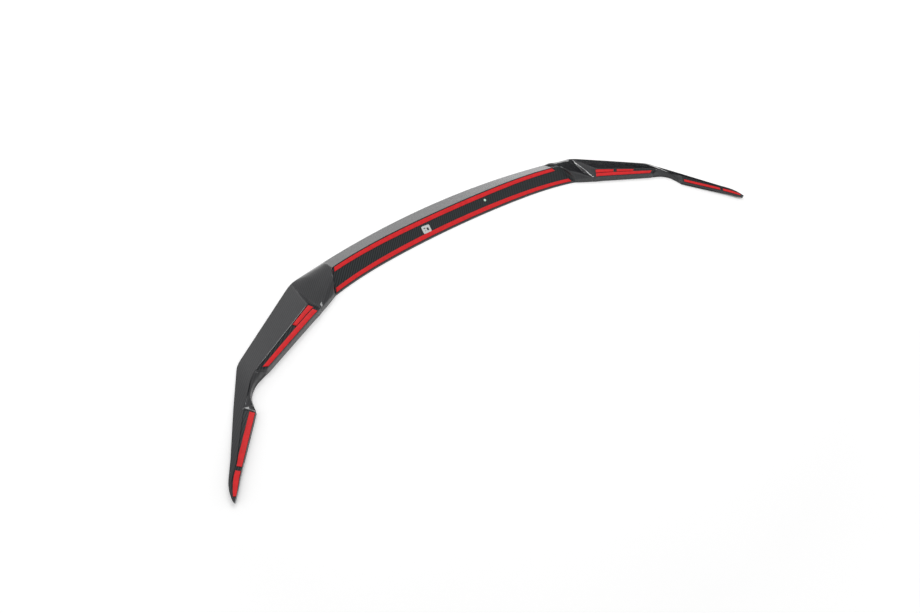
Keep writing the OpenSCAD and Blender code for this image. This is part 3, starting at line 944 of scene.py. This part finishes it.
flag = stage_piece("flag", [(-0.58, -0.235, OFF), (-0.785, -0.065, OFF), (-0.935, 0.27, OFF),
                            (-1.3, 0.27, OFF), (-1.25, 0.0, OFF), (-0.62, -0.5, OFF),
                            (-1.3, 0.27, TOP), (-1.25, 0.0, TOP), (-0.62, -0.5, TOP)],
                   [(0, 1, 4, 5), (1, 2, 3, 4), (3, 6, 7, 4), (4, 7, 8, 5)], flag_material())
flag.visible_camera = flag.visible_diffuse = flag.visible_shadow = False
print("Flag with", len(flag.data.polygons), "faces")

# %% [markdown]
# ## The world
# A mirrored line of sight tells where each bright or dark patch on the clear coat comes from.
# The walls are a little brighter than the ceiling, and two directions are dark: behind the
# camera, and out past the far end.

# %% World
# Direction of each dark patch, and the cosines at which it starts and is full
DARK = [((0.58, 0.54, 0.61), 0.93, 0.985), ((-0.84, -0.5, 0.2), 0.88, 0.95)]


def studio_world():
    """Radiance by direction, where h is the sine of the elevation: 0.8 below h = 0.5, falling
    smoothly to 0.7 above h = 0.77. Each dark patch takes nine tenths of it away, smoothly
    with the cosine of the angle to its middle. Camera rays always meet white."""
    world = bpy.data.worlds.new("studio")
    world.use_nodes = True
    tree = world.node_tree
    tree.nodes.clear()
    way = add(tree, "TexCoord", {}).outputs["Generated"]
    height = add(tree, "SeparateXYZ", {0: way}).outputs[2]
    level = add(tree, "MapRange", {0: height, 1: 0.5, 2: 0.77, 3: 0.8, 4: 0.7},
                interpolation_type="SMOOTHSTEP").outputs[0]
    for middle, start, full in DARK:
        near = add(tree, "VectorMath", {0: way, 1: middle}, operation="DOT_PRODUCT")
        left = add(tree, "MapRange", {0: near.outputs["Value"], 1: start, 2: full, 3: 1.0, 4: 0.1},
                   interpolation_type="SMOOTHSTEP").outputs[0]
        level = add(tree, "Math", {0: level, 1: left}, operation="MULTIPLY").outputs[0]
    seen = add(tree, "LightPath", {}).outputs["Is Camera Ray"]
    level = add(tree, "Mix", {0: seen, 2: level, 3: 1.0}).outputs[0]
    sky = add(tree, "Background", {"Color": (1, 1, 1, 1), "Strength": level})
    add(tree, "OutputWorld", {"Surface": sky.outputs[0]})
    return world


bpy.context.scene.world = studio_world()
print("World with", len(DARK), "dark patches")

# %% [markdown]
# ## The lamps
# A large soft box almost overhead gives the shadow and the even light. It would show as a
# square on the clear coat, so reflections don't see it. A second one in front draws the thin
# bright line along the near wing's crease, and a small one low down draws the line on the
# far fold. That one is seen only in reflections.

# %% Lamps
def softbox(name, azimuth, elevation, distance, size, power):
    """Rectangular area lamp that faces the object from a direction given in degrees."""
    data = bpy.data.lights.new(name, "AREA")
    data.shape, data.energy = "RECTANGLE", power
    data.size, data.size_y = size
    lamp = bpy.data.objects.new(name, data)
    a, e = np.radians([azimuth, elevation])
    back = np.array([np.cos(a) * np.cos(e), np.sin(a) * np.cos(e), np.sin(e)])
    right = np.array([-np.sin(a), np.cos(a), 0.0])
    matrix = np.eye(4)
    matrix[:3] = np.column_stack([right, np.cross(back, right), back, back * distance])
    lamp.matrix_world = Matrix(matrix.tolist())
    bpy.context.scene.collection.objects.link(lamp)
    print(name, "at", [round(c, 2) for c in lamp.location], power, "W")
    return lamp


above = softbox("softbox_above", azimuth=-146, elevation=74, distance=2.7, size=(1.2, 1.2),
                power=13)
above.visible_glossy = False
softbox("softbox_front", azimuth=-86.5, elevation=56, distance=2.76, size=(1.0, 0.5), power=12)
fold = softbox("softbox_fold", azimuth=-143, elevation=23.8, distance=2.65, size=(0.3, 0.3),
               power=4.5)
fold.visible_diffuse = False
bpy.context.scene.view_settings.view_transform = "Standard"

# %% [markdown]
